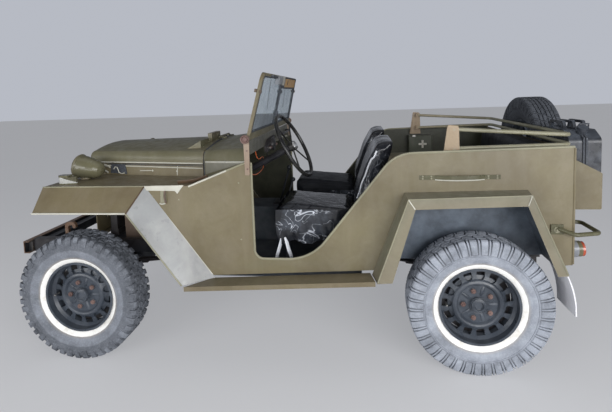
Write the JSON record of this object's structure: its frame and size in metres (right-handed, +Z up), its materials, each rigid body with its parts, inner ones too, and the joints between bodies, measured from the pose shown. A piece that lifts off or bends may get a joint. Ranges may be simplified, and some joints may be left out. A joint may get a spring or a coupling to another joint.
{
  "type": "open military 4x4 utility car",
  "caption": "Open four-wheel-drive army field car with a folding windshield, flat fenders, cloth-top bows folded down, rear spare wheel and a fuel can.",
  "frame": {"origin": "bottom centre of the bounding box, on the ground under the middle of the car", "axes": "+X forward, +Y to the car's left, +Z up"},
  "size_m": [3.65, 1.69, 1.6744],
  "materials": {
    "body_olive": "matte paint",
    "rust_tan": "worn paint with rust",
    "bow_olive": "matte paint",
    "wheel_slate": "satin paint",
    "chassis_black": "matte paint",
    "engine_iron": "cast",
    "bare_steel": "worn",
    "tyre_black": "matte",
    "seat_black": "grained",
    "floor_grey": "matte paint",
    "black_plastic": "smooth",
    "clear_glass": "clear",
    "lens": "ribbed",
    "can_black": "gloss paint",
    "flap_rubber": "matte",
    "box_olive": "matte paint"
  },
  "bodies": {
    "car_body": {"body_side_left": "body_olive", "body_side_right": "body_olive", "cowl": "body_olive", "fender_left": "body_olive", "fender_right": "body_olive", "hood_sides": "body_olive", "rear_panel": "body_olive", "wheel_boxes": "body_olive", "running_boards": "body_olive", "grille_panel": "body_olive", "grab_handles": "body_olive", "lamp_shells": "body_olive", "can_carrier": "body_olive", "spare_carrier": "body_olive", "hinge_brackets": "rust_tan", "front_bumper": "rust_tan", "bow_brackets": "bow_olive", "spare_wheel": "wheel_slate", "ladder_frame": "chassis_black", "front_axle": "chassis_black", "rear_axle": "chassis_black", "leaf_springs": "chassis_black", "propshafts": "chassis_black", "exhaust": "chassis_black", "radiator": "chassis_black", "seat_frames": "chassis_black", "rear_bench_box": "chassis_black", "steering_column": "chassis_black", "engine_block": "engine_iron", "control_levers": "bare_steel", "spare_tyre": "tyre_black", "front_seat_cushions": "seat_black", "front_seat_backs": "seat_black", "rear_seat_cushion": "seat_black", "rear_seat_back": "seat_black", "front_floor": "floor_grey", "tunnel": "floor_grey", "rear_floor": "floor_grey", "lamp_lenses": "lens", "jerry_can": "can_black", "mud_flaps": "flap_rubber", "first_aid_box": "box_olive"},
    "front_left_wheel": {"tyre_front_left": "tyre_black", "wheel_front_left": "wheel_slate"},
    "front_right_wheel": {"tyre_front_right": "tyre_black", "wheel_front_right": "wheel_slate"},
    "rear_left_wheel": {"tyre_rear_left": "tyre_black", "wheel_rear_left": "wheel_slate"},
    "rear_right_wheel": {"tyre_rear_right": "tyre_black", "wheel_rear_right": "wheel_slate"},
    "left_knuckle": {"knuckle_left": "chassis_black"},
    "right_knuckle": {"knuckle_right": "chassis_black"},
    "track_rod": {"tie_rod": "chassis_black"},
    "hand_wheel": {"steering_wheel": "black_plastic"},
    "windshield": {"windshield_frame": "body_olive", "windshield_glass": "clear_glass"},
    "engine_lid": {"hood": "body_olive"},
    "upper_bow": {"bow_upper": "bow_olive"},
    "lower_bow": {"bow_lower": "bow_olive"}
  },
  "joints": [
    {"name": "steer_left", "type": "hinge", "parent": "car_body", "child": "left_knuckle", "pos_m": [1.18, 0.61, 0.376], "axis": [0, 0, 1], "range_deg": [-28, 28]},
    {"name": "steer_right", "type": "hinge", "parent": "car_body", "child": "right_knuckle", "pos_m": [1.18, -0.61, 0.376], "axis": [0, 0, 1], "range_deg": [-28, 28]},
    {"name": "track_rod_swing", "type": "hinge", "parent": "left_knuckle", "child": "track_rod", "pos_m": [1.33, 0.61, 0.376], "axis": [0, 0, 1], "range_deg": [-28, 28]},
    {"name": "hand_wheel_turn", "type": "hinge", "parent": "car_body", "child": "hand_wheel", "pos_m": [-0.088, 0.345, 1.211], "axis": [-0.8844, 0.0774, 0.4602], "range_deg": [-448, 448]},
    {"name": "front_left_spin", "type": "hinge", "parent": "left_knuckle", "child": "front_left_wheel", "pos_m": [1.18, 0.72, 0.376], "axis": [0, 1, 0], "continuous": true},
    {"name": "front_right_spin", "type": "hinge", "parent": "right_knuckle", "child": "front_right_wheel", "pos_m": [1.18, -0.72, 0.376], "axis": [0, 1, 0], "continuous": true},
    {"name": "rear_left_spin", "type": "hinge", "parent": "car_body", "child": "rear_left_wheel", "pos_m": [-1.12, 0.72, 0.376], "axis": [0, 1, 0], "continuous": true},
    {"name": "rear_right_spin", "type": "hinge", "parent": "car_body", "child": "rear_right_wheel", "pos_m": [-1.12, -0.72, 0.376], "axis": [0, 1, 0], "continuous": true},
    {"name": "windshield_fold", "type": "hinge", "parent": "car_body", "child": "windshield", "pos_m": [0.123, 0, 1.3], "axis": [0, -1, 0], "range_deg": [-100, 0]},
    {"name": "hood_open", "type": "hinge", "parent": "car_body", "child": "engine_lid", "pos_m": [0.48, 0, 1.254], "axis": [0, -1, 0], "range_deg": [0, 50]},
    {"name": "upper_bow_raise", "type": "hinge", "parent": "car_body", "child": "upper_bow", "pos_m": [-1.01, 0, 1.322], "axis": [0, 1, 0], "range_deg": [0, 95]},
    {"name": "lower_bow_raise", "type": "hinge", "parent": "car_body", "child": "lower_bow", "pos_m": [-1.01, 0, 1.216], "axis": [0, 1, 0], "range_deg": [0, 53]}
  ],
  "couplings": [
    {"joint": "steer_right", "follows": "steer_left", "ratio": 1},
    {"joint": "track_rod_swing", "follows": "steer_left", "ratio": -1},
    {"joint": "hand_wheel_turn", "follows": "steer_left", "ratio": 16},
    {"joint": "lower_bow_raise", "follows": "upper_bow_raise", "ratio": 0.55}
  ]
}
